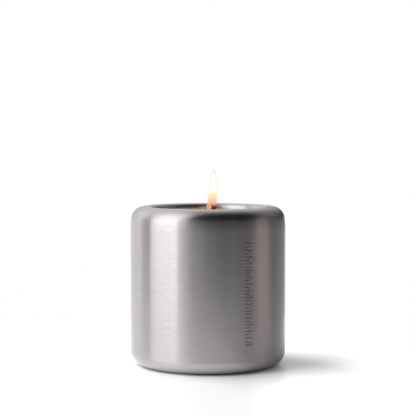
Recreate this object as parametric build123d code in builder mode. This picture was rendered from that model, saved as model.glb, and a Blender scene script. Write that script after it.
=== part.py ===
from build123d import *
import os

# A lit container candle in a double-walled, brushed stainless-steel vessel.
# Millimetres, +Z up. The origin is on the table, under the centre of the vessel.
# The front is -Y. Every piece but the bent wick and the flame is turned about the Z axis, so
# most profiles below are half sections: local X is the radius and local Y is the height.

os.makedirs("parts", exist_ok=True)

# ---- Driving dimensions ----
body_diameter = 80.0
rim_height = 81.7  # table to the flat of the rolled rim
foot_gap = 0.3  # the steel stands this far off the table, on its foot ring
shell_sheet = 0.8
base_corner = 6.6  # outside radius between the underside and the wall
ease_radius = 40.0  # the wide arc on which the wall starts to lean in
ease_angle = 8.0
shoulder_radius = 6.5  # the tighter arc from there to the flat of the rim
mouth_radius = 28.4
lip_radius = 2.7  # the roll from the flat of the rim down into the mouth
lip_end = 76.0  # height of the weld between the lip and the cup
flange_inner = 30.0  # radius of the opening in the shell's underside

cup_sheet = 0.6
cup_underside = 12.0
cup_corner = 4.0  # inside radius of the cup's bottom corner

base_sheet = 0.8
base_radius = 33.2
base_step_outer = 26.5  # the pressed step that lifts the middle of the base plate
base_step_inner = 24.5
base_lift = 1.0

foot_outer = 29.9
foot_width = 2.6
foot_edge = 0.4
label_radius = 18.0
label_sheet = 0.15

wax_level = 74.6
wax_meniscus = 0.9  # how far the wax climbs the cup's wall
wax_meniscus_run = 2.4
wax_gap = 0.05  # cold wax shrinks away from steel by about this much
pool_radius = 21.0
pool_depth = 2.2
pool_climb = 0.3  # how far the liquid climbs the wick
pool_climb_run = 1.2
fit_gap = 0.03  # between pieces that lie against each other inside the wax

tab_radius = 8.0
tab_sheet = 0.3
collar_height = 6.0
collar_sheet = 0.35
sticker_thickness = 0.8

wick_radius = 1.5
wick_core_radius = 0.55
wick_bend_height = 77.3  # where the straight wick and its leaning tip would meet
wick_bend_radius = 5.0
wick_lean = (0.719, 0.695)  # direction of the tip: sideways, upwards
wick_tip_length = 5.1

flame_foot = (1.9, 77.6)  # the middle of the flame's foot: sideways, upwards
flame_tip = (3.16, 101.1)
flame_foot_radius = 2.3
flame_tip_radius = 0.12
# Radii of the flame along its length, each after its share of the way from foot to tip.
flame_radii = [(0.12, 3.0), (0.3, 2.53), (0.52, 2.08), (0.74, 1.73), (0.89, 1.1)]

# A generic burn gauge, cut into the wall: long and short marks in turn, level on their left.
mark_side = 20.1  # how far the column of marks is to the right of the front
mark_bottom = 15.1
mark_pitch = 3.34
long_mark_count = 16
long_mark = 4.1
short_mark = 2.4
mark_line = 0.55
mark_depth = 0.15

# ---- Worked out ----
wall_radius = body_diameter / 2
centre_shift = Vector(ease_radius - shoulder_radius, 0).rotate(Axis.Z, ease_angle)
ease_start = rim_height - shoulder_radius - centre_shift.Y
ease_centre = (wall_radius - ease_radius, ease_start)
shoulder_centre = (ease_centre[0] + centre_shift.X, ease_start + centre_shift.Y)
lip_centre = (mouth_radius + lip_radius, rim_height - lip_radius)
corner_centre = (wall_radius - base_corner, foot_gap + base_corner)
base_underside = foot_gap + shell_sheet
cup_floor = cup_underside + cup_sheet
tab_underside = cup_floor + sticker_thickness
tab_top = tab_underside + tab_sheet
wick_hole = wick_radius + fit_gap


# ---- Outer shell: underside flange, corner, wall, rolled shoulder, lip, and the cut marks ----
with BuildPart() as outer_shell:
    with BuildSketch(Plane.XZ):
        with BuildLine():
            Line((flange_inner, foot_gap), (corner_centre[0], foot_gap))
            CenterArc(corner_centre, base_corner, -90, 90)
            Line((wall_radius, corner_centre[1]), (wall_radius, ease_start))
            CenterArc(ease_centre, ease_radius, 0, ease_angle)
            CenterArc(shoulder_centre, shoulder_radius, ease_angle, 90 - ease_angle)
            Line((shoulder_centre[0], rim_height), (lip_centre[0], rim_height))
            CenterArc(lip_centre, lip_radius, 90, 90)
            Line((mouth_radius, lip_centre[1]), (mouth_radius, lip_end))
            Line((mouth_radius, lip_end), (mouth_radius + shell_sheet, lip_end))
            Line((mouth_radius + shell_sheet, lip_end), (mouth_radius + shell_sheet, lip_centre[1]))
            CenterArc(lip_centre, lip_radius - shell_sheet, 180, -90)
            rim_underside = rim_height - shell_sheet
            Line((lip_centre[0], rim_underside), (shoulder_centre[0], rim_underside))
            CenterArc(shoulder_centre, shoulder_radius - shell_sheet, 90, ease_angle - 90)
            CenterArc(ease_centre, ease_radius - shell_sheet, ease_angle, -ease_angle)
            Line(
                (wall_radius - shell_sheet, ease_start),
                (wall_radius - shell_sheet, corner_centre[1]),
            )
            CenterArc(corner_centre, base_corner - shell_sheet, 0, -90)
            Line((corner_centre[0], base_underside), (flange_inner, base_underside))
            Line((flange_inner, base_underside), (flange_inner, foot_gap))
        make_face()
    revolve(axis=Axis.Z)

    mark_front = (wall_radius**2 - mark_side**2) ** 0.5
    mark_centre = mark_bottom + mark_pitch * (long_mark_count - 1) / 2
    wall_outwards = Vector(mark_side, -mark_front, 0).normalized()
    wall_sideways = Vector(mark_front, mark_side, 0).normalized()
    mark_plane = Plane(
        origin=(mark_side, -mark_front, mark_centre), x_dir=wall_sideways, z_dir=wall_outwards
    )
    with BuildSketch(mark_plane):
        with GridLocations(0, mark_pitch, 1, long_mark_count):
            SlotOverall(long_mark, mark_line)
        with Locations(((short_mark - long_mark) / 2, 0)):
            with GridLocations(0, mark_pitch, 1, long_mark_count - 1):
                SlotOverall(short_mark, mark_line)
    extrude(amount=mark_depth, both=True, mode=Mode.SUBTRACT)

outer_shell.part.label = "outer_shell"
export_step(outer_shell.part, "parts/outer_shell.step")


# ---- Inner cup: drawn from thinner sheet, and butt-welded to the lip ----
with BuildPart() as inner_cup:
    with BuildSketch(Plane.XZ):
        with BuildLine():
            corner_x = mouth_radius - cup_corner
            corner_z = cup_floor + cup_corner
            Line((0, cup_floor), (corner_x, cup_floor))
            CenterArc((corner_x, corner_z), cup_corner, -90, 90)
            Line((mouth_radius, corner_z), (mouth_radius, lip_end))
            Line((mouth_radius, lip_end), (mouth_radius + cup_sheet, lip_end))
            Line((mouth_radius + cup_sheet, lip_end), (mouth_radius + cup_sheet, corner_z))
            CenterArc((corner_x, corner_z), cup_corner + cup_sheet, 0, -90)
            Line((corner_x, cup_underside), (0, cup_underside))
            Line((0, cup_underside), (0, cup_floor))
        make_face()
    revolve(axis=Axis.Z)

inner_cup.part.label = "inner_cup"
export_step(inner_cup.part, "parts/inner_cup.step")


# ---- Base plate: lapped inside the flange, with its middle pressed up clear of the table ----
with BuildPart() as base_plate:
    with BuildSketch(Plane.XZ):
        with BuildLine():
            Polyline(
                (0, base_underside + base_lift),
                (base_step_inner, base_underside + base_lift),
                (base_step_outer, base_underside),
                (base_radius, base_underside),
                (base_radius, base_underside + base_sheet),
                (base_step_outer, base_underside + base_sheet),
                (base_step_inner, base_underside + base_lift + base_sheet),
                (0, base_underside + base_lift + base_sheet),
                close=True,
            )
        make_face()
    revolve(axis=Axis.Z)

base_plate.part.label = "base_plate"
export_step(base_plate.part, "parts/base_plate.step")


# ---- Foot ring: silicone, in the corner between the flange's edge and the base plate ----
with BuildPart() as foot_ring:
    with BuildSketch():
        Circle(foot_outer)
        Circle(foot_outer - foot_width, mode=Mode.SUBTRACT)
    extrude(amount=base_underside)
    fillet(foot_ring.edges().group_by(Axis.Z)[0], radius=foot_edge)

foot_ring.part.label = "foot_ring"
export_step(foot_ring.part, "parts/foot_ring.step")


# ---- Base label: a blank disc under the lifted middle of the base plate ----
with BuildPart() as base_label:
    with BuildSketch(Plane.XY.offset(base_underside + base_lift - label_sheet)):
        Circle(label_radius)
    extrude(amount=label_sheet)

base_label.part.label = "base_label"
export_step(base_label.part, "parts/base_label.step")


# ---- Wick sticker: the foam disc between the tab and the cup's floor ----
with BuildPart() as wick_sticker:
    with BuildSketch(Plane.XY.offset(cup_floor)):
        Circle(tab_radius)
    extrude(amount=sticker_thickness)

wick_sticker.part.label = "wick_sticker"
export_step(wick_sticker.part, "parts/wick_sticker.step")


# ---- Wick tab: a stamped disc with a collar that grips the wick ----
with BuildPart() as wick_tab:
    with BuildSketch(Plane.XY.offset(tab_underside)):
        Circle(tab_radius)
    extrude(amount=tab_sheet)
    with BuildSketch(Plane.XY.offset(tab_underside)):
        Circle(wick_hole + collar_sheet)
    extrude(amount=collar_height)
    Hole(wick_hole)

wick_tab.part.label = "wick_tab"
export_step(wick_tab.part, "parts/wick_tab.step")


# ---- Wick: straight through the wax, then bent over at its charred tip ----
wick_end = (wick_lean[0] * wick_tip_length, wick_bend_height + wick_lean[1] * wick_tip_length)


def wick_path():
    """The wick's centre line: two straight runs, joined by one tangent arc."""
    return FilletPolyline(
        (0, 0, tab_underside),
        (0, 0, wick_bend_height),
        (wick_end[0], 0, wick_end[1]),
        radius=wick_bend_radius,
    )


with BuildPart() as wick_braid:
    with BuildLine():
        wick_path()
    with BuildSketch(Plane.XY.offset(tab_underside)):
        Circle(wick_radius)
        Circle(wick_core_radius + fit_gap, mode=Mode.SUBTRACT)
    sweep()

wick_braid.part.label = "wick_braid"
export_step(wick_braid.part, "parts/wick_braid.step")

with BuildPart() as wick_core:
    with BuildLine():
        wick_path()
    with BuildSketch(Plane.XY.offset(tab_underside)):
        Circle(wick_core_radius)
    sweep()

wick_core.part.label = "wick_core"
export_step(wick_core.part, "parts/wick_core.step")


# ---- Melt pool: the dish of liquid wax round the wick ----
pool_bottom = wax_level - pool_depth

with BuildPart() as melt_pool:
    with BuildSketch(Plane.XZ):
        with BuildLine():
            Line((wick_hole, pool_bottom), (wick_hole, wax_level + pool_climb))
            TangentArc(
                (wick_hole + pool_climb_run, wax_level),
                (wick_hole, wax_level + pool_climb),
                tangent=(-1, 0),
            )
            Line((wick_hole + pool_climb_run, wax_level), (pool_radius, wax_level))
            TangentArc((wick_hole, pool_bottom), (pool_radius, wax_level), tangent=(1, 0))
        make_face()
    revolve(axis=Axis.Z)

melt_pool.part.label = "melt_pool"
export_step(melt_pool.part, "parts/melt_pool.step")


# ---- Wax fill: poured round the tab and the wick, with a dish melted in its top ----
with BuildPart() as wax_fill:
    with BuildSketch(Plane.XZ):
        with BuildLine():
            wax_radius = mouth_radius - wax_gap
            wax_underside = cup_floor + wax_gap
            wax_corner_z = wax_underside + cup_corner
            collar_hole = wick_hole + collar_sheet + fit_gap
            Line((tab_radius + fit_gap, wax_underside), (wax_radius - cup_corner, wax_underside))
            CenterArc((wax_radius - cup_corner, wax_corner_z), cup_corner, -90, 90)
            Line((wax_radius, wax_corner_z), (wax_radius, wax_level + wax_meniscus))
            TangentArc(
                (wax_radius - wax_meniscus_run, wax_level),
                (wax_radius, wax_level + wax_meniscus),
                tangent=(1, 0),
            )
            Line((wax_radius - wax_meniscus_run, wax_level), (pool_radius + fit_gap, wax_level))
            TangentArc(
                (wick_hole, pool_bottom - fit_gap),
                (pool_radius + fit_gap, wax_level),
                tangent=(1, 0),
            )
            Polyline(
                (wick_hole, pool_bottom - fit_gap),
                (wick_hole, tab_underside + collar_height + fit_gap),
                (collar_hole, tab_underside + collar_height + fit_gap),
                (collar_hole, tab_top + fit_gap),
                (tab_radius + fit_gap, tab_top + fit_gap),
                (tab_radius + fit_gap, wax_underside),
            )
        make_face()
    revolve(axis=Axis.Z)

wax_fill.part.label = "wax_fill"
export_step(wax_fill.part, "parts/wax_fill.step")


# ---- Flame: a slim teardrop that leans a little to the right, round the tip of the wick ----
flame_rise = Vector(flame_tip[0] - flame_foot[0], 0, flame_tip[1] - flame_foot[1])
flame_start = Vector(flame_foot[0], 0, flame_foot[1])

with BuildPart() as flame:
    # Half section along the leaning axis: local X runs from foot to tip, and local Y is the radius.
    with BuildSketch(Plane(origin=flame_start, x_dir=flame_rise, z_dir=(0, -1, 0))):
        with BuildLine():
            Line((0, 0), (0, flame_foot_radius))
            Spline(
                (0, flame_foot_radius),
                *[(share * flame_rise.length, radius) for share, radius in flame_radii],
                (flame_rise.length, flame_tip_radius),
            )
            Line((flame_rise.length, flame_tip_radius), (flame_rise.length, 0))
            Line((flame_rise.length, 0), (0, 0))
        make_face()
    revolve(axis=Axis(flame_start, flame_rise))
    with BuildLine():
        wick_path()
    with BuildSketch(Plane.XY.offset(tab_underside)):
        Circle(wick_hole)
    sweep(mode=Mode.SUBTRACT)

flame.part.label = "flame"
export_step(flame.part, "parts/flame.step")

print("vessel", outer_shell.part.bounding_box())
print("flame", flame.part.bounding_box())
print("wick ends at", wick_end)
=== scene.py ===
# %% [markdown]
# A lit candle in a vessel of brushed stainless steel, on a white table. The vessel is spun and
# pressed from sheet: a straight wall, a rounded base corner, and a shoulder that rolls in to a
# smaller mouth. The frame brings in the engineering model, which fixes every size and place, and
# this lesson gives it the surface, the wax, the braided wick and the flame.

# %% Load the frame
import bpy
from math import asin, atan2, cos, hypot, pi, radians, sin, sqrt, tan
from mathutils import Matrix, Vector


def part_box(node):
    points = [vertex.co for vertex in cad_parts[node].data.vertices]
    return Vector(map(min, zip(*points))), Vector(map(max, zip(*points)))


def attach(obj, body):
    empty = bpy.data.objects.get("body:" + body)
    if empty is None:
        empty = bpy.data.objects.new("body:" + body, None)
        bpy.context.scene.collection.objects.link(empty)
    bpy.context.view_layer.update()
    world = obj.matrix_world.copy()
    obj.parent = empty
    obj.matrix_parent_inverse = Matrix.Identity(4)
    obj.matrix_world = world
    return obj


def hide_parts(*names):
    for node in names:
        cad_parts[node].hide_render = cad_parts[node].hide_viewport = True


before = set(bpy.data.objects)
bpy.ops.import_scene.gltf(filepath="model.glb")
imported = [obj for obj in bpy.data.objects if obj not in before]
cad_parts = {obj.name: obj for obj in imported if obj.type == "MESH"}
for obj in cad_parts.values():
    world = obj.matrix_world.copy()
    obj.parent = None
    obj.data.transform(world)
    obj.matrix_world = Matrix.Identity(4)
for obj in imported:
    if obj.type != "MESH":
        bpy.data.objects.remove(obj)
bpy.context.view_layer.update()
scene = bpy.context.scene
MM = 0.001

# %% [markdown]
# Every size below is read from the frame, so the lesson fits whatever the engineering model says.
# A node's box gives its outside; what lies between, such as the start of the shoulder, is named
# here once and used everywhere.

# %% Sizes that the pieces share
shell_low, shell_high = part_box("outer_shell")
cup_low, cup_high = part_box("inner_cup")
wax_low, wax_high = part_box("wax_fill")
pool_low, pool_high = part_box("melt_pool")
wick_low, wick_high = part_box("wick_braid")
flame_low, flame_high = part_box("flame")

WALL_R = shell_high.x
RIM_Z = shell_high.z
FOOT_GAP = shell_low.z
SHEET = 0.8 * MM
CORNER = 6.6 * MM
EASE_R = 40.0 * MM
EASE_ANGLE = 8.0
SHOULDER_R = 6.5 * MM
CUP_SHEET = 0.6 * MM
MOUTH_R = cup_high.x - CUP_SHEET
LIP_R = 2.7 * MM
LIP_END = cup_high.z
FLANGE_R = 30.0 * MM
SEGMENTS = 288

print("mouth radius", round(MOUTH_R / MM, 2), "mm, cup sheet", round(CUP_SHEET / MM, 2), "mm")

# %% [markdown]
# The camera stands about 0.65 m away and only a little above the rim, so the mouth is a thin
# ellipse. A long lens keeps the sides almost parallel.

# %% Camera
CAMERA_DISTANCE = 0.650
CAMERA_HEIGHT = 0.1163
CAMERA_PITCH = radians(3.13)

camera_data = bpy.data.cameras.new("camera")
camera_data.lens = 108.8
camera_data.sensor_width = 36.0
camera_data.clip_start = 0.01
camera_data.clip_end = 50.0
camera = bpy.data.objects.new("camera", camera_data)
scene.collection.objects.link(camera)
camera.location = (0.0, -CAMERA_DISTANCE, CAMERA_HEIGHT)
camera.rotation_euler = (pi / 2 - CAMERA_PITCH, 0.0, 0.0)
scene.camera = camera
scene.view_settings.view_transform = "Standard"


# %% [markdown]
# Small tools for working the way a hand does in edit mode. A turned piece starts as one ring, and
# each new ring is extruded from the last, scaled to its radius and lifted to its height, as a
# spinner works metal over a former, ring by ring.

# %% Edit-mode helpers
def deselect_all():
    """Leaves nothing selected, because an operator acts on all that is."""
    if bpy.context.object and bpy.context.object.mode != "OBJECT":
        bpy.ops.object.mode_set(mode="OBJECT")
    bpy.ops.object.select_all(action="DESELECT")


def pick(piece):
    """Selects one piece and makes it the active one."""
    deselect_all()
    piece.select_set(True)
    bpy.context.view_layer.objects.active = piece


def turned(name, profile, segments=SEGMENTS, close=False):
    """Turns a profile, a list of (radius, height), round the Z axis. A radius of 0 closes a pole."""
    deselect_all()
    first_r, first_z = profile[0]
    starts_at_pole = first_r == 0.0
    tiny = 1e-6
    bpy.ops.mesh.primitive_circle_add(
        vertices=segments, radius=max(first_r, tiny), location=(0, 0, first_z)
    )
    piece = bpy.context.object
    piece.name = name
    bpy.ops.object.transform_apply(location=True, rotation=True, scale=True)
    bpy.ops.object.mode_set(mode="EDIT")
    bpy.ops.mesh.select_all(action="SELECT")
    last_r, last_z = max(first_r, tiny), first_z
    for next_r, next_z in profile[1:]:
        scale = max(next_r, tiny) / last_r
        bpy.ops.mesh.extrude_region_move(TRANSFORM_OT_translate={"value": (0, 0, next_z - last_z)})
        bpy.ops.transform.resize(value=(scale, scale, 1), center_override=(0, 0, 0))
        last_r, last_z = max(next_r, tiny), next_z
    bpy.ops.mesh.select_all(action="SELECT")
    if close:
        bpy.ops.mesh.select_all(action="DESELECT")
        bpy.ops.mesh.select_non_manifold()
        bpy.ops.mesh.bridge_edge_loops()
    bpy.ops.mesh.select_all(action="SELECT")
    if starts_at_pole or profile[-1][0] == 0.0:
        bpy.ops.mesh.remove_doubles(threshold=5e-6)
    bpy.ops.mesh.normals_make_consistent(inside=False)
    bpy.ops.object.mode_set(mode="OBJECT")
    bpy.ops.object.shade_smooth_by_angle(angle=radians(35))
    return piece


def arc(centre, radius, start, end, steps):
    """Points on an arc in the profile plane, its first point left out: angles in degrees."""
    points = []
    for step in range(1, steps + 1):
        angle = radians(start + (end - start) * step / steps)
        points.append((centre[0] + radius * cos(angle), centre[1] + radius * sin(angle)))
    return points


def report(piece):
    low = Vector(piece.bound_box[0])
    high = Vector(piece.bound_box[6])
    print(piece.name, len(piece.data.polygons), "faces,", [round(v / MM, 2) for v in high - low], "mm")


# %% [markdown]
# Materials and the studio are made of nodes. These helpers add a node, set its sockets by name and
# join it up, so that each material below reads as a short recipe.

# %% Node helpers
def shader(name):
    """A new material, with its node tree, its Principled shader and its output."""
    material = bpy.data.materials.new(name)
    material.use_nodes = True
    nodes = material.node_tree.nodes
    return material, material.node_tree, nodes["Principled BSDF"]


def set_values(node, **values):
    """Sets sockets by name: an underscore in a keyword stands for a space."""
    for name, value in values.items():
        node.inputs[name.replace("_", " ")].default_value = value


def link(tree, source, target):
    tree.links.new(source, target)


def add(tree, kind, **settings):
    """Adds a node and sets its properties."""
    node = tree.nodes.new(kind)
    for name, value in settings.items():
        setattr(node, name, value)
    return node


def maths(tree, operation, first, second=None, third=None, clamp=False):
    """A Math node whose inputs are numbers or sockets; returns its output."""
    node = add(tree, "ShaderNodeMath", operation=operation, use_clamp=clamp)
    for slot, value in enumerate((first, second, third)):
        if value is None:
            continue
        if isinstance(value, (int, float)):
            node.inputs[slot].default_value = value
        else:
            link(tree, value, node.inputs[slot])
    return node.outputs[0]


def ramp(tree, factor, stops, interpolation="LINEAR"):
    """A Color Ramp from a list of (place, colour); a colour may be one grey value."""
    node = add(tree, "ShaderNodeValToRGB")
    node.color_ramp.interpolation = interpolation
    elements = node.color_ramp.elements
    while len(elements) < len(stops):
        elements.new(0.5)
    for element, (place, colour) in zip(elements, stops):
        element.position = place
        grey = isinstance(colour, (int, float))
        element.color = (colour, colour, colour, 1) if grey else (*colour, 1)
    link(tree, factor, node.inputs[0])
    return node.outputs[0]


def mixed(tree, factor, first, second):
    """Blends two colours or colour sockets; a factor of 0 gives the first."""
    node = add(tree, "ShaderNodeMix", data_type="RGBA")
    for slot, value in ((0, factor), (6, first), (7, second)):
        if isinstance(value, (int, float)):
            node.inputs[slot].default_value = value
        elif isinstance(value, tuple):
            node.inputs[slot].default_value = (*value, 1)
        else:
            link(tree, value, node.inputs[slot])
    return node.outputs[2]


def share(tree, value, low, high):
    """How far a value has come from low to high, held between 0 and 1."""
    node = add(tree, "ShaderNodeMapRange")
    set_values(node, From_Min=low, From_Max=high)
    link(tree, value, node.inputs["Value"])
    return node.outputs["Result"]


# %% [markdown]
# The table is a pale sheet with a trace of gloss, so that the vessel's foot shows in it faintly. It
# is small: past its edges the steel mirrors the studio instead. Its paint is not even, and the
# unevenness is painted light and shade: it is painted greyer in front as shade, and brighter than
# any paint on the right as painted light, where the shadow fades. The steel mirrors a dimmer,
# painted copy of it, a shaded copy that only reflections see, in three tones: painted light by the
# foot, painted shade in the field and darker painted shade on the right.

# %% Table
TABLE_WIDTH = 0.40
TABLE_DEPTH = 0.33
TABLE_MIDDLE = (-0.09, 0.005, 0.0)
# Painted shade greys the table in front; painted light makes it brighter than paint on the right. The
# mirrored tones are a painted, shaded copy: lighter by the foot, darker on the right.
SEEN_FRONT_PAINTED_SHADE = 0.70
SEEN_RIGHT_PAINTED_LIGHT = 1.10
MIRRORED_FOOT_PAINTED_LIGHT = (0.84, 0.84, 0.84)
MIRRORED_FIELD_PAINTED_SHADE = (0.72, 0.72, 0.72)
MIRRORED_RIGHT_PAINTED_SHADE = (0.54, 0.54, 0.54)

bpy.ops.mesh.primitive_plane_add(size=1, location=TABLE_MIDDLE)
table = bpy.context.object
table.name = "table"
table.scale = (TABLE_WIDTH, TABLE_DEPTH, 1)
bpy.ops.object.transform_apply(location=True, rotation=True, scale=True)

table_painted_light_and_shade, tree, surface = shader("table_painted_light_and_shade")
set_values(surface, Roughness=0.28, IOR=1.26)
place = add(tree, "ShaderNodeTexCoord").outputs["Object"]
parts = add(tree, "ShaderNodeSeparateXYZ")
link(tree, place, parts.inputs[0])
# Painted light on the right as the camera sees the table, and painted shade there in the copy that the
# steel mirrors.
right_painted_light_and_shade = share(tree, parts.outputs[0], 18 * MM, 42 * MM)
link(tree, ramp(tree, right_painted_light_and_shade, [(0, SEEN_FRONT_PAINTED_SHADE), (1, SEEN_RIGHT_PAINTED_LIGHT)]), surface.inputs["Base Color"])
away = add(tree, "ShaderNodeVectorMath", operation="LENGTH")
link(tree, place, away.inputs[0])
# Painted light: the mirrored copy is brighter near the foot.
foot_painted_light = share(tree, away.outputs["Value"], 62 * MM, 42 * MM)
mirrored_painted_light_and_shade = mixed(tree, foot_painted_light, MIRRORED_FIELD_PAINTED_SHADE, MIRRORED_FOOT_PAINTED_LIGHT)
mirrored_painted_light_and_shade = mixed(tree, right_painted_light_and_shade, mirrored_painted_light_and_shade, MIRRORED_RIGHT_PAINTED_SHADE)
# A painted, shaded copy of the table that only reflections see; the camera sees the paint above.
painted_shaded_copy = add(tree, "ShaderNodeBsdfDiffuse")
link(tree, mirrored_painted_light_and_shade, painted_shaded_copy.inputs["Color"])
seen_or_painted_copy = add(tree, "ShaderNodeMixShader")
link(tree, add(tree, "ShaderNodeLightPath").outputs["Is Camera Ray"], seen_or_painted_copy.inputs[0])
link(tree, painted_shaded_copy.outputs[0], seen_or_painted_copy.inputs[1])
link(tree, surface.outputs[0], seen_or_painted_copy.inputs[2])
link(tree, seen_or_painted_copy.outputs[0], tree.nodes["Material Output"].inputs["Surface"])
table.data.materials.append(table_painted_light_and_shade)

# %% [markdown]
# The studio. The camera sees pure white behind the candle. The steel mirrors something else: a
# tall softbox on the left, a dim room in front, a faint warm strip on the right and the lit sweep
# behind. Each ramp below goes once round the horizon, for one band of heights, and the world shows
# them to glossy rays only. It is not a real room, and its stops were not chosen freely: they come
# from a program that fitted light to the look of the steel, and were then rounded and moved.

# %% Studio world
SOFTBOX = 3.5
AMBIENT = 0.48

world = bpy.data.worlds.new("studio")
scene.world = world
world.use_nodes = True
sky = world.node_tree
sky.nodes.clear()

direction = add(sky, "ShaderNodeTexCoord").outputs["Generated"]
split = add(sky, "ShaderNodeSeparateXYZ")
link(sky, direction, split.inputs[0])
rise = split.outputs[2]
# Turn from the front: 0.5 is the camera's side, 0.25 the left, 0.75 the right, 0 and 1 behind.
turn = maths(sky, "ARCTAN2", split.outputs[0], maths(sky, "MULTIPLY", split.outputs[1], -1.0))
turn = maths(sky, "MULTIPLY_ADD", turn, 1 / (2 * pi), 0.5)


def round_the_room(stops):
    """One band of the studio: (angle from the camera's side, brightness). Left is negative."""
    return ramp(sky, turn, [(0.5 + angle / 360, colour) for angle, colour in stops])


WARM_STRIP = (0.215, 0.166, 0.165)
below_level = round_the_room([
    (-180, 0.26), (-150, 0.32), (-118, 0.32), (-111, 0.17), (-97, 0.13), (-92, 0.33), (-80, 0.43),
    (-49, 0.47), (-43, 0.21), (-10, 0.16), (0, 0.09), (20, 0.055), (40, 0.055), (66, 0.10),
    (82, WARM_STRIP), (100, WARM_STRIP), (112, 0.105), (150, 0.14), (165, 0.18), (180, 0.26),
])
eye_level = round_the_room([
    (-180, 0.21), (-168, 0.17), (-150, 0.25), (-120, 0.40), (-113, 0.25), (-97, 0.17), (-92, 0.60),
    (-80, 0.84), (-60, 0.90), (-48, 0.94), (-43, 0.42), (-30, 0.20), (-16, 0.05), (0, 0.01),
    (70, 0.01), (82, 0.09), (96, 0.06), (104, 0.0), (168, 0.0), (180, 0.21),
])
low_level = round_the_room([
    (-180, 0.37), (-168, 0.27), (-150, 0.37), (-120, 0.46), (-110, 0.34), (-98, 0.30), (-91, 0.60),
    (-80, 0.66), (-50, 0.68), (-40, 0.48), (-32, 0.12), (-24, 0.0), (80, 0.0), (100, 0.05),
    (130, 0.08), (150, 0.06), (165, 0.28), (180, 0.37),
])
upper_level = round_the_room([
    (-180, 0.38), (-160, 0.30), (-125, 0.33), (-102, 0.42), (-90, 0.60), (-62, 0.56), (-46, 0.46),
    (-38, 0.36), (-30, 0.08), (-22, 0.0), (115, 0.0), (135, 0.16), (152, 0.16), (168, 0.35),
    (180, 0.38),
])
overhead = round_the_room([
    (-180, 0.15), (-145, 0.08), (-130, 0.06), (-112, 0.28), (-90, 0.46), (-74, 0.36), (-60, 0.11),
    (-32, 0.08), (-22, 0.0), (122, 0.0), (135, 0.08), (180, 0.15),
])
climb = maths(sky, "MULTIPLY", maths(sky, "ARCSINE", rise), 180 / pi)
studio = mixed(sky, share(sky, climb, 0, -3), eye_level, below_level)
studio = mixed(sky, share(sky, climb, 5, 28), studio, low_level)
studio = mixed(sky, share(sky, climb, 28, 52), studio, upper_level)
studio = mixed(sky, share(sky, climb, 52, 80), studio, overhead)

camera_ray = add(sky, "ShaderNodeLightPath").outputs["Is Camera Ray"]
glossy_ray = add(sky, "ShaderNodeLightPath").outputs["Is Glossy Ray"]
mirrored = add(sky, "ShaderNodeBackground")
set_values(mirrored, Strength=SOFTBOX)
link(sky, studio, mirrored.inputs["Color"])
ambient = add(sky, "ShaderNodeBackground")
set_values(ambient, Color=(1, 1, 1, 1), Strength=AMBIENT)
backdrop = add(sky, "ShaderNodeBackground")
set_values(backdrop, Color=(1, 1, 1, 1), Strength=1.0)
unseen = add(sky, "ShaderNodeMixShader")
link(sky, glossy_ray, unseen.inputs[0])
link(sky, ambient.outputs[0], unseen.inputs[1])
link(sky, mirrored.outputs[0], unseen.inputs[2])
seen = add(sky, "ShaderNodeMixShader")
link(sky, camera_ray, seen.inputs[0])
link(sky, unseen.outputs[0], seen.inputs[1])
link(sky, backdrop.outputs[0], seen.inputs[2])
world_output = add(sky, "ShaderNodeOutputWorld")
link(sky, seen.outputs[0], world_output.inputs["Surface"])

# %% [markdown]
# The light on the table comes from the left, from a source as wide as the softbox, so the shadow
# on the right is dark at the foot and soft further out. A sun lamp gives the whole table the same
# light, which keeps it evenly white.

# %% Key light
sun_data = bpy.data.lights.new("softbox_light", "SUN")
sun_data.energy = 6.6
sun_data.angle = radians(80)
sun = bpy.data.objects.new("softbox_light", sun_data)
scene.collection.objects.link(sun)
sun.rotation_euler = Vector((1.0, -0.06, -0.70)).to_track_quat("-Z", "Y").to_euler()
sun.visible_glossy = False

# %% [markdown]
# Brushed stainless steel. The belt ran round the vessel, so the scratches are rings: they blur a
# reflection up and down far more than sideways. That is anisotropy, with its tangent round the Z
# axis. Fine noise, stretched along the rings, gives the streaks in tone, gloss and height.

# %% Brushed steel
def ring_streaks(tree, across, around, detail, seed):
    """Noise stretched round the Z axis. It changes quickly along the profile and slowly round it."""
    place = add(tree, "ShaderNodeTexCoord").outputs["Object"]
    parts = add(tree, "ShaderNodeSeparateXYZ")
    link(tree, place, parts.inputs[0])
    radius = maths(tree, "SQRT", maths(tree, "ADD",
                   maths(tree, "POWER", parts.outputs[0], 2.0),
                   maths(tree, "POWER", parts.outputs[1], 2.0)))
    profile_place = maths(tree, "SUBTRACT", parts.outputs[2], radius)
    spread = add(tree, "ShaderNodeCombineXYZ")
    link(tree, maths(tree, "MULTIPLY", parts.outputs[0], around), spread.inputs[0])
    link(tree, maths(tree, "MULTIPLY", parts.outputs[1], around), spread.inputs[1])
    link(tree, maths(tree, "MULTIPLY_ADD", profile_place, across, seed), spread.inputs[2])
    noise = add(tree, "ShaderNodeTexNoise")
    set_values(noise, Scale=1.0, Detail=detail, Roughness=0.6)
    link(tree, spread.outputs[0], noise.inputs["Vector"])
    return noise.outputs["Fac"]


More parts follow.
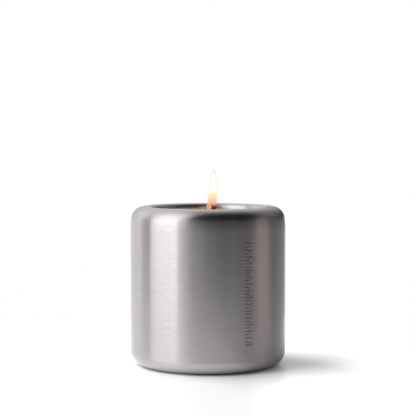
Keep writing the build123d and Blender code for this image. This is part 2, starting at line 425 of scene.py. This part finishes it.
def brushed_steel(name, colour, roughness, contrast=0.05, streak=0.004, bump=0.0015, anisotropy=1.0):
    """Steel with rings of fine scratches: contrast is in tone, streak in gloss, bump in height."""
    material, tree, surface = shader(name)
    set_values(surface, Metallic=1.0, Anisotropic=anisotropy, Anisotropic_Rotation=0.25)
    fine = ring_streaks(tree, 2600.0, 120.0, 3.0, 4.0)
    broad = ring_streaks(tree, 1100.0, 220.0, 2.0, 31.0)
    level = maths(tree, "ADD", maths(tree, "MULTIPLY", fine, 0.55), maths(tree, "MULTIPLY", broad, 0.45))
    link(tree, maths(tree, "MULTIPLY_ADD", level, 4 * streak, roughness - 2 * streak),
         surface.inputs["Roughness"])
    darker = tuple(channel * (1 - contrast) for channel in colour)
    brighter = tuple(min(1.0, channel * (1 + contrast)) for channel in colour)
    link(tree, ramp(tree, level, [(0.35, darker), (0.65, brighter)]), surface.inputs["Base Color"])
    tangent = add(tree, "ShaderNodeTangent", direction_type="RADIAL", axis="Z")
    link(tree, tangent.outputs[0], surface.inputs["Tangent"])
    relief = add(tree, "ShaderNodeBump")
    set_values(relief, Strength=bump, Distance=0.05 * MM)
    link(tree, fine, relief.inputs["Height"])
    link(tree, relief.outputs[0], surface.inputs["Normal"])
    return material


shell_steel = brushed_steel("brushed_shell", (0.447, 0.422, 0.433), 0.27)
cup_steel = brushed_steel("brushed_cup", (0.49, 0.465, 0.475), 0.34, anisotropy=0.9)
base_steel = brushed_steel("brushed_base", (0.50, 0.49, 0.50), 0.38, contrast=0.06, anisotropy=0.8)

# %% [markdown]
# The outer shell is one sheet. Its outside is turned from the flange under the base, round the
# base corner, up the wall, over the shoulder and down the lip, and then the sheet gets its
# thickness. The lip ends in a slight chamfer, which leaves a fine groove at the weld.

# %% Outer shell
LIP_CHAMFER = 0.12 * MM

corner_centre = (WALL_R - CORNER, FOOT_GAP + CORNER)
ease_start = RIM_Z - SHOULDER_R - (EASE_R - SHOULDER_R) * sin(radians(EASE_ANGLE))
ease_centre = (WALL_R - EASE_R, ease_start)
shoulder_centre = (
    ease_centre[0] + (EASE_R - SHOULDER_R) * cos(radians(EASE_ANGLE)), RIM_Z - SHOULDER_R
)
lip_centre = (MOUTH_R + LIP_R, RIM_Z - LIP_R)
shell_profile = [(FLANGE_R, FOOT_GAP), (WALL_R - CORNER, FOOT_GAP)]
shell_profile += arc(corner_centre, CORNER, -90, 0, 14)
shell_profile += [(WALL_R, ease_start)]
shell_profile += arc(ease_centre, EASE_R, 0, EASE_ANGLE, 6)
shell_profile += arc(shoulder_centre, SHOULDER_R, EASE_ANGLE, 90, 20)
shell_profile += [(lip_centre[0], RIM_Z)]
shell_profile += arc(lip_centre, LIP_R, 90, 180, 12)
shell_profile += [(MOUTH_R, LIP_END + LIP_CHAMFER), (MOUTH_R + LIP_CHAMFER, LIP_END)]
shell = turned("vessel_shell", shell_profile)
report(shell)


def finish_edges(piece):
    """Smooth faces, with an edge kept sharp where two faces meet at more than 35 degrees."""
    pick(piece)
    bpy.ops.object.shade_smooth_by_angle(angle=radians(35))


def thicken(piece, thickness):
    """Gives a sheet its thickness, inwards from the side that its faces point to."""
    pick(piece)
    solid = piece.modifiers.new("sheet", "SOLIDIFY")
    solid.thickness = thickness
    solid.offset = -1.0
    solid.use_even_offset = True
    bpy.ops.object.modifier_apply(modifier="sheet")


thicken(shell, SHEET)
shell.data.materials.append(shell_steel)
report(shell)

# %% [markdown]
# A column of cut marks stands to the right of the front: long and short lines in turn, a plain
# gauge of how far the candle has burned. A laser cuts such lines and leaves the steel in them dull
# and dark. Each line is a slot with round ends. One long and one short cutter are modelled, copied
# up the wall, and taken out of the shell with a Boolean, which also hands over their dark finish.

# %% Burn gauge
GAUGE_SIDE = 20.1 * MM
GAUGE_BOTTOM = 15.1 * MM
GAUGE_PITCH = 3.34 * MM
LONG_MARKS = 16
LONG_MARK = 4.1 * MM
SHORT_MARK = 2.4 * MM
MARK_LINE = 0.55 * MM
MARK_DEPTH = 0.15 * MM
ROUND_END = 0.498


def select_edges(piece, wanted):
    """Selects the edges whose two ends pass a test, and leaves edit mode on."""
    pick(piece)
    bpy.ops.object.mode_set(mode="EDIT")
    bpy.ops.mesh.select_mode(type="EDGE")
    bpy.ops.mesh.select_all(action="DESELECT")
    bpy.ops.object.mode_set(mode="OBJECT")
    for edge in piece.data.edges:
        first, second = (piece.data.vertices[corner].co for corner in edge.vertices)
        edge.select = wanted(first, second)
    bpy.ops.object.mode_set(mode="EDIT")


def gauge_mark(length, middle):
    """A slot-ended cutter across the front of the wall, at the height of the lowest mark."""
    deselect_all()
    bpy.ops.mesh.primitive_cube_add(size=1, location=(middle, -WALL_R, GAUGE_BOTTOM))
    mark = bpy.context.object
    mark.scale = (length, 2 * MARK_DEPTH, MARK_LINE)
    bpy.ops.object.transform_apply(location=True, rotation=True, scale=True)
    select_edges(mark, lambda first, second: abs(first.y - second.y) > MARK_DEPTH)
    bpy.ops.mesh.bevel(offset=MARK_LINE * ROUND_END, segments=5, affect="EDGES")
    bpy.ops.object.mode_set(mode="OBJECT")
    return mark


def copied(piece, shift):
    """A copy with a mesh of its own, moved by a shift."""
    pick(piece)
    bpy.ops.object.duplicate(linked=False)
    twin = bpy.context.object
    twin.location = shift
    bpy.ops.object.transform_apply(location=True, rotation=False, scale=False)
    return twin


def joined(pieces, name):
    """Joins meshes into the first of them, and names it."""
    deselect_all()
    for piece in pieces:
        piece.select_set(True)
    bpy.context.view_layer.objects.active = pieces[0]
    bpy.ops.object.join()
    pieces[0].name = name
    return pieces[0]


def carve(piece, cutter):
    """Takes a cutter out of a piece; the cut faces keep the cutter's material."""
    pick(piece)
    cut = piece.modifiers.new("cut", "BOOLEAN")
    cut.object = cutter
    cut.operation = "DIFFERENCE"
    cut.solver = "EXACT"
    cut.material_mode = "TRANSFER"
    bpy.ops.object.modifier_apply(modifier="cut")
    bpy.data.objects.remove(cutter, do_unlink=True)


gauge_finish, tree, surface = shader("laser_cut_steel")
set_values(surface, Metallic=1.0, Roughness=0.55)
grain = add(tree, "ShaderNodeTexNoise")
set_values(grain, Scale=9000.0, Detail=3.0)
link(tree, add(tree, "ShaderNodeTexCoord").outputs["Object"], grain.inputs["Vector"])
link(tree, ramp(tree, grain.outputs["Fac"], [(0.3, (0.22, 0.21, 0.21)), (0.7, (0.33, 0.32, 0.32))]),
     surface.inputs["Base Color"])

long_mark = gauge_mark(LONG_MARK, 0.0)
short_mark = gauge_mark(SHORT_MARK, (SHORT_MARK - LONG_MARK) / 2)
marks = [long_mark, short_mark]
for step in range(1, LONG_MARKS):
    marks.append(copied(long_mark, (0, 0, step * GAUGE_PITCH)))
for step in range(1, LONG_MARKS - 1):
    marks.append(copied(short_mark, (0, 0, step * GAUGE_PITCH)))
pick(short_mark)
short_mark.location = (0, 0, GAUGE_PITCH / 2)
for mark in marks[LONG_MARKS + 1:]:
    mark.location = (0, 0, GAUGE_PITCH / 2)
gauge = joined(marks, "gauge_cutter")
gauge.rotation_euler = (0, 0, asin(GAUGE_SIDE / WALL_R))
pick(gauge)
bpy.ops.object.transform_apply(location=True, rotation=True, scale=True)
gauge.data.materials.append(gauge_finish)
print("gauge marks", len(marks))
report(gauge)
carve(shell, gauge)
finish_edges(shell)
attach(shell, "root")
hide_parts("outer_shell")
report(shell)

# %% [markdown]
# The inner cup holds the wax, and meets the lip in a butt weld. Its profile goes from the middle
# of its underside, up the outside, over the edge and down the inside to the middle of its floor.

# %% Inner cup
CUP_CORNER = 4.0 * MM

cup_floor = cup_low.z + CUP_SHEET
corner_middle = (MOUTH_R - CUP_CORNER, cup_floor + CUP_CORNER)
cup_profile = [(0.0, cup_low.z), (corner_middle[0], cup_low.z)]
cup_profile += arc(corner_middle, CUP_CORNER + CUP_SHEET, -90, 0, 8)
cup_profile += [(MOUTH_R + CUP_SHEET, LIP_END), (MOUTH_R + LIP_CHAMFER, LIP_END)]
cup_profile += [(MOUTH_R, LIP_END - LIP_CHAMFER)]
cup_profile += arc(corner_middle, CUP_CORNER, 0, -90, 8)
cup_profile += [(0.0, cup_floor)]
cup = turned("liner_cup", cup_profile, segments=192)
cup.data.materials.append(cup_steel)
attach(cup, "root")
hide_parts("inner_cup")
report(cup)

# %% [markdown]
# Wax is poured hot and climbs the steel a little as it sets. Once the wick burns, a dish melts
# into the top. The fill is turned in one piece, with close rings where its top curves, and a
# gentle noise then moves the top, because a melted edge is never a true circle.

# %% Poured wax
MENISCUS = 0.9 * MM
MENISCUS_RUN = 2.4 * MM
WAX_WAVE = 0.34 * MM
WAX_WAVE_LENGTH = 8.0 * MM

wax_level = wax_high.z - MENISCUS
pool_r = pool_high.x
pool_depth = wax_level - pool_low.z
wax_r = wax_high.x


def dish(radius):
    """Height of the dish that the flame has melted into the wax."""
    return wax_level - pool_depth * (1 - (radius / pool_r) ** 2)


wax_corner = (wax_r - CUP_CORNER, wax_low.z + CUP_CORNER)
wax_profile = [(0.0, wax_low.z), (wax_corner[0], wax_low.z)]
wax_profile += arc(wax_corner, CUP_CORNER, -90, 0, 8)
wax_profile += [(wax_r, wax_high.z)]
for step in range(1, 8):
    inwards = step / 7
    wax_profile.append((wax_r - MENISCUS_RUN * inwards, wax_level + MENISCUS * (1 - inwards) ** 2.4))
flat_start = wax_r - MENISCUS_RUN
for step in range(1, 7):
    wax_profile.append((flat_start + (pool_r - flat_start) * step / 6, wax_level))
for radius in (20.4, 19.6, 18.4, 16.5, 14.0, 11.0, 8.0, 5.0, 2.5, 0.0):
    wax_profile.append((radius * MM, dish(radius * MM)))
wax = turned("poured_wax", wax_profile, segments=144)


def ruffle(piece, amount, wave_length, wanted, direction="Z"):
    """Moves the vertices that pass a test by cloudy noise, up and down or along their normals."""
    group = piece.vertex_groups.new(name="ruffled")
    for vertex in piece.data.vertices:
        strength = wanted(vertex.co)
        if strength > 0:
            group.add([vertex.index], strength, "REPLACE")
    clouds = bpy.data.textures.new("ruffle_noise", "CLOUDS")
    clouds.noise_scale = wave_length
    clouds.noise_depth = 2
    pick(piece)
    noise = piece.modifiers.new("ruffle", "DISPLACE")
    noise.texture = clouds
    noise.texture_coords = "LOCAL"
    noise.direction = direction
    noise.mid_level = 0.5
    noise.strength = amount
    noise.vertex_group = "ruffled"
    bpy.ops.object.modifier_apply(modifier="ruffle")
    piece.vertex_groups.clear()


def top_of_wax(place):
    """The top moves most at the edge of the melt pool, and not at all against the steel."""
    radius = hypot(place.x, place.y)
    if place.z < wax_level - pool_depth or radius > wax_r - 0.5 * MM:
        return 0.0
    return max(0.0, 1 - abs(radius - pool_r) / (7 * MM))


ruffle(wax, WAX_WAVE, WAX_WAVE_LENGTH, top_of_wax)
finish_edges(wax)
report(wax)

# %% [markdown]
# Candle wax is cloudy: light goes a few millimetres in and comes out again, which softens every
# edge. That is subsurface scattering. Broad noise shifts the cream a little, and fine noise gives
# the frosting that a cooled surface has.

# %% Wax finish
WAX_CREAM = (0.80, 0.755, 0.66)
WAX_DEEP = (0.76, 0.70, 0.58)


def cloudy(name, stops, scale, detail, roughness, bump, grain_scale, **values):
    """A material whose colour drifts with broad noise and whose surface has a fine grain."""
    material, tree, surface = shader(name)
    set_values(surface, Roughness=roughness, **values)
    place = add(tree, "ShaderNodeTexCoord").outputs["Object"]
    broad = add(tree, "ShaderNodeTexNoise")
    set_values(broad, Scale=scale, Detail=detail)
    link(tree, place, broad.inputs["Vector"])
    link(tree, ramp(tree, broad.outputs["Fac"], stops), surface.inputs["Base Color"])
    fine = add(tree, "ShaderNodeTexNoise")
    set_values(fine, Scale=grain_scale, Detail=4.0)
    link(tree, place, fine.inputs["Vector"])
    relief = add(tree, "ShaderNodeBump")
    set_values(relief, Strength=bump, Distance=0.1 * MM)
    link(tree, fine.outputs["Fac"], relief.inputs["Height"])
    link(tree, relief.outputs[0], surface.inputs["Normal"])
    return material


wax_finish = cloudy(
    "set_wax", [(0.3, WAX_DEEP), (0.65, WAX_CREAM)], 130.0, 3.0, 0.42, 0.25, 2200.0,
    Subsurface_Weight=0.6, Subsurface_Radius=(1.0, 0.72, 0.42), Subsurface_Scale=3.0 * MM, IOR=1.44,
)
wax.data.materials.append(wax_finish)
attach(wax, "root")
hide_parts("wax_fill")

# %% [markdown]
# The melt pool is a thin lens of liquid in that dish. It dips under the set wax all round, so the
# shore line is wherever the two meet. It climbs the wick slightly, as any liquid does.

# %% Melt pool
POOL_OVERLAP = 0.9 * MM
POOL_SINK = 0.12 * MM
CLIMB = pool_high.z - wax_level

wick_r = (wick_high.y - wick_low.y) / 2
pool_profile = [(0.0, dish(0.0) - POOL_SINK)]
for step in range(1, 7):
    radius = pool_r * step / 6
    pool_profile.append((radius, dish(radius) - POOL_SINK))
pool_profile += [(pool_r + POOL_OVERLAP, wax_level - 4 * POOL_SINK)]
pool_profile += [(pool_r + POOL_OVERLAP / 2, wax_level - POOL_SINK / 2), (pool_r - 2 * MM, wax_level)]
pool_profile += [(pool_r * share_in, wax_level) for share_in in (0.7, 0.45, 0.25)]
for step in range(0, 6):
    inwards = step / 5
    pool_profile.append((wick_r + 1.2 * MM * (1 - inwards), wax_level + CLIMB * inwards ** 2.2))
pool_profile += [(0.0, pool_high.z)]
pool = turned("liquid_wax", pool_profile, segments=144)

pool_finish, tree, surface = shader("melted_wax")
set_values(
    surface, Roughness=0.07, IOR=1.44, Subsurface_Weight=0.45, Subsurface_Radius=(1.0, 0.7, 0.38),
    Subsurface_Scale=4.0 * MM, Coat_Weight=0.8, Coat_Roughness=0.02,
)
place = add(tree, "ShaderNodeTexCoord").outputs["Object"]
flat_place = add(tree, "ShaderNodeVectorMath", operation="MULTIPLY")
flat_place.inputs[1].default_value = (1, 1, 0)
link(tree, place, flat_place.inputs[0])
from_wick = add(tree, "ShaderNodeVectorMath", operation="LENGTH")
link(tree, flat_place.outputs[0], from_wick.inputs[0])
depth_share = share(tree, from_wick.outputs["Value"], 0.0, pool_r)
link(tree, ramp(tree, depth_share, [
    (0.0, (0.50, 0.39, 0.22)), (0.12, (0.60, 0.50, 0.32)), (0.55, (0.68, 0.60, 0.44)),
    (0.92, (0.75, 0.69, 0.56)), (1.0, WAX_CREAM),
]), surface.inputs["Base Color"])
swirl = add(tree, "ShaderNodeTexNoise")
set_values(swirl, Scale=160.0, Detail=2.0)
link(tree, place, swirl.inputs["Vector"])
relief = add(tree, "ShaderNodeBump")
set_values(relief, Strength=0.12, Distance=0.1 * MM)
link(tree, swirl.outputs["Fac"], relief.inputs["Height"])
link(tree, relief.outputs[0], surface.inputs["Normal"])
pool.data.materials.append(pool_finish)
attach(pool, "root")
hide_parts("melt_pool")
report(pool)

# %% [markdown]
# The wick is a round braid. Four strands wind one way and four the other, and each passes over and
# under those it meets: that is a strand's distance from the middle going in and out like a wave,
# with the two families opposite. One strand of each family is drawn as a curve and copied round.

# %% Wick braid
BRAID_STRANDS = 4
BRAID_PITCH = 6.4 * MM
BRAID_R = 0.96 * MM
BRAID_WEAVE = 0.19 * MM
STRAND_R = 0.35 * MM
BEND_R = 5.0 * MM
BEND_HEIGHT = 77.3 * MM
TIP_LENGTH = 5.1 * MM
LEAN = Vector((0.719, 0.0, 0.695)).normalized()
STEPS_PER_TURN = 18

lean_angle = atan2(LEAN.x, LEAN.z)
bend_reach = BEND_R * tan(lean_angle / 2)
bend_start = BEND_HEIGHT - bend_reach
straight_length = bend_start - wick_low.z
arc_length = BEND_R * lean_angle
wick_length = straight_length + arc_length + TIP_LENGTH - bend_reach


def along_wick(distance):
    """The wick's middle, and its direction, at a distance from its foot."""
    if distance <= straight_length:
        return Vector((0, 0, wick_low.z + distance)), Vector((0, 0, 1))
    angle = min((distance - straight_length) / BEND_R, lean_angle)
    middle = Vector((BEND_R * (1 - cos(angle)), 0, bend_start + BEND_R * sin(angle)))
    ahead = Vector((sin(angle), 0, cos(angle)))
    rest = distance - straight_length - arc_length
    return (middle + ahead * rest if rest > 0 else middle), ahead


def strand(name, start, way):
    """One strand: start is its place round the wick, way is 1 or -1 for its family."""
    curve = bpy.data.curves.new(name, "CURVE")
    curve.dimensions = "3D"
    curve.bevel_depth = STRAND_R
    curve.bevel_resolution = 2
    curve.use_fill_caps = True
    line = curve.splines.new("POLY")
    count = int(wick_length / BRAID_PITCH * STEPS_PER_TURN)
    line.points.add(count)
    for step in range(count + 1):
        distance = wick_length * step / count
        middle, ahead = along_wick(distance)
        turned_by = 2 * pi * distance / BRAID_PITCH
        weave = BRAID_WEAVE * way * cos(BRAID_STRANDS * turned_by)
        to_tip = min(1.0, (wick_length - distance) / (1.6 * MM))
        spread = (BRAID_R + weave) * (0.62 + 0.38 * sqrt(to_tip))
        angle = start + way * turned_by
        sideways = Vector((ahead.z, 0, -ahead.x))
        outwards = sideways * cos(angle) + Vector((0, 1, 0)) * sin(angle)
        point = line.points[step]
        point.co = (*(middle + outwards * spread), 1.0)
        point.radius = 0.55 + 0.45 * to_tip
    piece = bpy.data.objects.new(name, curve)
    scene.collection.objects.link(piece)
    pick(piece)
    bpy.ops.object.convert(target="MESH")
    return bpy.context.object


strands = []
for way in (1, -1):
    for number in range(BRAID_STRANDS):
        strands.append(strand(f"strand_{way}_{number}", 2 * pi * number / BRAID_STRANDS, way))
wick = joined(strands, "braided_wick")
report(wick)

# %% [markdown]
# A burning wick has three lengths: cotton soaked with wax at the bottom, a scorched band, and black
# char above it. At the very tip it still glows. Height tells the first three apart, and distance
# from the end of the wick places the glow.

# %% Wick finish
wick_end, end_ahead = along_wick(wick_length)
EMBER = wick_end + Vector((1.3 * MM, 0, -0.6 * MM))


def charred(name, glow):
    """Cotton that goes from cream to black with height, and glows round the ember."""
    material, tree, surface = shader(name)
    set_values(surface, Roughness=0.85, Specular_IOR_Level=0.15)
    place = add(tree, "ShaderNodeTexCoord").outputs["Object"]
    parts = add(tree, "ShaderNodeSeparateXYZ")
    link(tree, place, parts.inputs[0])
    fibres = add(tree, "ShaderNodeTexNoise")
    set_values(fibres, Scale=1500.0, Detail=5.0)
    link(tree, place, fibres.inputs["Vector"])
    ragged = maths(tree, "MULTIPLY_ADD", fibres.outputs["Fac"], 0.9 * MM, parts.outputs[2])
    height = share(tree, ragged, wax_level - 1.0 * MM, wax_level + 5.0 * MM)
    link(tree, ramp(tree, height, [
        (0.0, (0.72, 0.64, 0.47)), (0.26, (0.45, 0.33, 0.19)), (0.42, (0.10, 0.06, 0.035)),
        (0.60, (0.008, 0.006, 0.005)), (1.0, (0.012, 0.009, 0.008)),
    ]), surface.inputs["Base Color"])
    away = add(tree, "ShaderNodeVectorMath", operation="DISTANCE")
    away.inputs[1].default_value = EMBER
    link(tree, place, away.inputs[0])
    cracks = maths(tree, "MULTIPLY_ADD", fibres.outputs["Fac"], 1.3 * MM, away.outputs["Value"])
    heat = share(tree, cracks, 2.2 * MM, 1.0 * MM)
    link(tree, ramp(tree, heat, [
        (0.0, (0.0, 0.0, 0.0)), (0.45, (0.30, 0.02, 0.0)), (1.0, (1.0, 0.22, 0.05)),
    ]), surface.inputs["Emission Color"])
    set_values(surface, Emission_Strength=glow)
    relief = add(tree, "ShaderNodeBump")
    set_values(relief, Strength=0.6, Distance=0.08 * MM)
    link(tree, fibres.outputs["Fac"], relief.inputs["Height"])
    link(tree, relief.outputs[0], surface.inputs["Normal"])
    return material


wick_finish = charred("charred_cotton", 1.6)
wick.data.materials.append(wick_finish)
finish_edges(wick)
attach(wick, "root")
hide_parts("wick_braid")

# %% [markdown]
# Char gathers on the tip as a small crumbly cap. It starts as a ball, is pressed a little along the
# wick and roughened with noise.

# %% Wick cap
CAP_R = 1.3 * MM
CAP_CRUMBLE = 0.62 * MM

deselect_all()
cap_place = wick_end - end_ahead * 0.2 * MM
bpy.ops.mesh.primitive_ico_sphere_add(subdivisions=5, radius=CAP_R, location=cap_place)
cap = bpy.context.object
cap.name = "wick_cap"
cap.rotation_euler = (0, lean_angle, 0)
cap.scale = (1.12, 1.0, 0.86)
bpy.ops.object.transform_apply(location=True, rotation=True, scale=True)
ruffle(cap, CAP_CRUMBLE, 0.9 * MM, lambda place: 1.0, direction="NORMAL")
finish_edges(cap)
cap.data.materials.append(wick_finish)
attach(cap, "root")
report(cap)

# %% [markdown]
# The flame is gas, so it has no surface of its own. Two nested shells stand for it: a thin mantle
# that is half clear, pale orange at its edge, and a bright body inside. The body is white above,
# where soot burns hottest, yellow below, and pink-orange and clear round the wick.

# %% Flame
FLAME_FOOT = Vector((1.9 * MM, 0, 77.6 * MM))
FLAME_TIP = Vector((3.16 * MM, 0, 101.1 * MM))
# Radii of the flame in millimetres, each after its share of the way from foot to tip.
FLAME_RADII = (
    (0.0, 2.3), (0.12, 3.0), (0.30, 2.6), (0.52, 2.28), (0.74, 1.75), (0.89, 1.17), (0.97, 0.68),
    (1.0, 0.3),
)
FLAME_RINGS = 40

flame_length = (FLAME_TIP - FLAME_FOOT).length


def flame_radius(way_up):
    """The flame's radius, smoothed between the radii above."""
    for low, high in zip(FLAME_RADII, FLAME_RADII[1:]):
        if way_up <= high[0]:
            step = (way_up - low[0]) / (high[0] - low[0])
            smooth = step if high[0] == 1.0 else step * step * (3 - 2 * step) * 0.5 + step * 0.5
            return (low[1] + (high[1] - low[1]) * smooth) * MM
    return 0.0


def flame_shell(name, inset, start, end):
    """A closed shell inside the flame's outline, from one share of its length to another."""
    profile = [(0.0, start * flame_length)]
    for step in range(1, FLAME_RINGS):
        way_up = start + (end - start) * step / FLAME_RINGS
        ends = min(1.0, 7 * step / FLAME_RINGS, 20 * (1 - step / FLAME_RINGS))
        radius = max(flame_radius(way_up) - inset, 0.1 * MM) * sqrt(ends)
        profile.append((radius, way_up * flame_length))
    profile.append((0.0, end * flame_length))
    piece = turned(name, profile, segments=64)
    rise = FLAME_TIP - FLAME_FOOT
    piece.rotation_euler = (0, atan2(rise.x, rise.z), 0)
    piece.location = FLAME_FOOT
    pick(piece)
    bpy.ops.object.transform_apply(location=True, rotation=True, scale=True)
    piece.visible_shadow = False
    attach(piece, "root")
    return piece


def glowing(name, colours, alphas, strengths, beside_wick=0.0):
    """Light from gas: colour, cover and strength each change with height above the foot.
    The wick leans to the right, so gas gathers on its left: beside_wick is its cover there."""
    material, tree, surface = shader(name)
    set_values(surface, Base_Color=(0, 0, 0, 1), Roughness=1.0, Specular_IOR_Level=0.0)
    parts = add(tree, "ShaderNodeSeparateXYZ")
    link(tree, add(tree, "ShaderNodeTexCoord").outputs["Object"], parts.inputs[0])
    way_up = share(tree, parts.outputs[2], FLAME_FOOT.z, FLAME_TIP.z)
    link(tree, ramp(tree, way_up, colours), surface.inputs["Emission Color"])
    left_of_wick = share(tree, parts.outputs[0], 1.9 * MM, 1.1 * MM)
    gathered = maths(tree, "MULTIPLY", left_of_wick, share(tree, way_up, 0.28, 0.22))
    gathered = maths(tree, "MULTIPLY", gathered, beside_wick)
    cover = maths(tree, "MAXIMUM", ramp(tree, way_up, alphas), gathered)
    link(tree, cover, surface.inputs["Alpha"])
    power = maths(tree, "MULTIPLY", ramp(tree, way_up, strengths), 8.0)
    link(tree, power, surface.inputs["Emission Strength"])
    return material


mantle = flame_shell("flame_mantle", 0.0, 0.0, 1.0)
mantle.data.materials.append(glowing(
    "flame_edge",
    [(0.0, (0.35, 0.45, 1.0)), (0.06, (0.75, 0.34, 0.20)), (0.12, (0.86, 0.42, 0.22)),
     (0.24, (0.92, 0.44, 0.22)), (0.30, (0.97, 0.55, 0.40)), (0.42, (0.98, 0.76, 0.30)),
     (0.52, (0.96, 0.86, 0.66)), (0.88, (0.96, 0.74, 0.50)), (1.0, (0.93, 0.60, 0.46))],
    [(0.0, 0.02), (0.10, 0.05), (0.20, 0.06), (0.25, 0.28), (0.30, 0.34), (0.5, 0.28), (0.9, 0.30),
     (1.0, 0.50)],
    [(0.0, 0.125), (1.0, 0.125)],
    beside_wick=0.62,
))
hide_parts("flame")
report(mantle)

body = flame_shell("flame_body", 0.62 * MM, 0.10, 0.965)
body.data.materials.append(glowing(
    "flame_heart",
    [(0.18, (0.86, 0.40, 0.26)), (0.27, (0.93, 0.50, 0.36)), (0.31, (1.0, 0.62, 0.46)),
     (0.35, (1.0, 0.72, 0.46)), (0.40, (1.0, 0.86, 0.46)), (0.47, (1.0, 0.91, 0.60)),
     (0.54, (1.0, 0.92, 0.78)), (1.0, (1.0, 0.92, 0.78))],
    [(0.18, 0.0), (0.22, 0.35), (0.27, 0.9), (0.32, 1.0), (1.0, 1.0)],
    [(0.10, 0.125), (0.43, 0.125), (0.52, 0.2), (1.0, 0.2)],
    beside_wick=0.5,
))
report(body)

# %% [markdown]
# The flame also lights the wax and the lip. A small warm lamp inside it does that without noise.

# %% Flame light
lamp_data = bpy.data.lights.new("flame_light", "POINT")
lamp_data.energy = 0.02
lamp_data.color = (1.0, 0.58, 0.25)
lamp_data.shadow_soft_size = 2.0 * MM
lamp = bpy.data.objects.new("flame_light", lamp_data)
scene.collection.objects.link(lamp)
lamp.location = FLAME_FOOT.lerp(FLAME_TIP, 0.45)
lamp.visible_camera = False
lamp.visible_glossy = False

# %% [markdown]
# The rest keeps its engineering shape and only gets its finish: the base plate, its blank paper
# label and the silicone ring that the vessel stands on, and inside the wax the tab, its foam disc
# and the paper core of the wick.

# %% Hidden pieces
silicone = cloudy(
    "black_silicone", [(0.3, (0.016, 0.016, 0.017)), (0.7, (0.028, 0.028, 0.030))],
    400.0, 3.0, 0.62, 0.3, 4000.0, Sheen_Weight=0.1,
)
label_paper = cloudy(
    "blank_paper", [(0.35, (0.80, 0.785, 0.74)), (0.65, (0.87, 0.86, 0.82))],
    900.0, 5.0, 0.85, 0.5, 5200.0, Specular_IOR_Level=0.3,
)
tinned = cloudy(
    "tinned_steel", [(0.3, (0.60, 0.60, 0.60)), (0.7, (0.74, 0.74, 0.73))],
    500.0, 4.0, 0.30, 0.15, 3000.0, Metallic=1.0,
)
foam = cloudy(
    "foam_disc", [(0.4, (0.72, 0.72, 0.71)), (0.6, (0.88, 0.88, 0.87))],
    2600.0, 2.0, 0.9, 1.0, 3800.0, Specular_IOR_Level=0.2,
)
core_paper = cloudy(
    "scorched_paper", [(0.35, (0.10, 0.08, 0.06)), (0.65, (0.18, 0.15, 0.11))],
    1800.0, 4.0, 0.9, 0.6, 5000.0,
)
for node_name, finish in (
    ("base_plate", base_steel), ("base_label", label_paper), ("foot_ring", silicone),
    ("wick_tab", tinned), ("wick_sticker", foam), ("wick_core", core_paper),
):
    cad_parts[node_name].material_slots[0].material = finish
    print(node_name, "is finished in", finish.name)
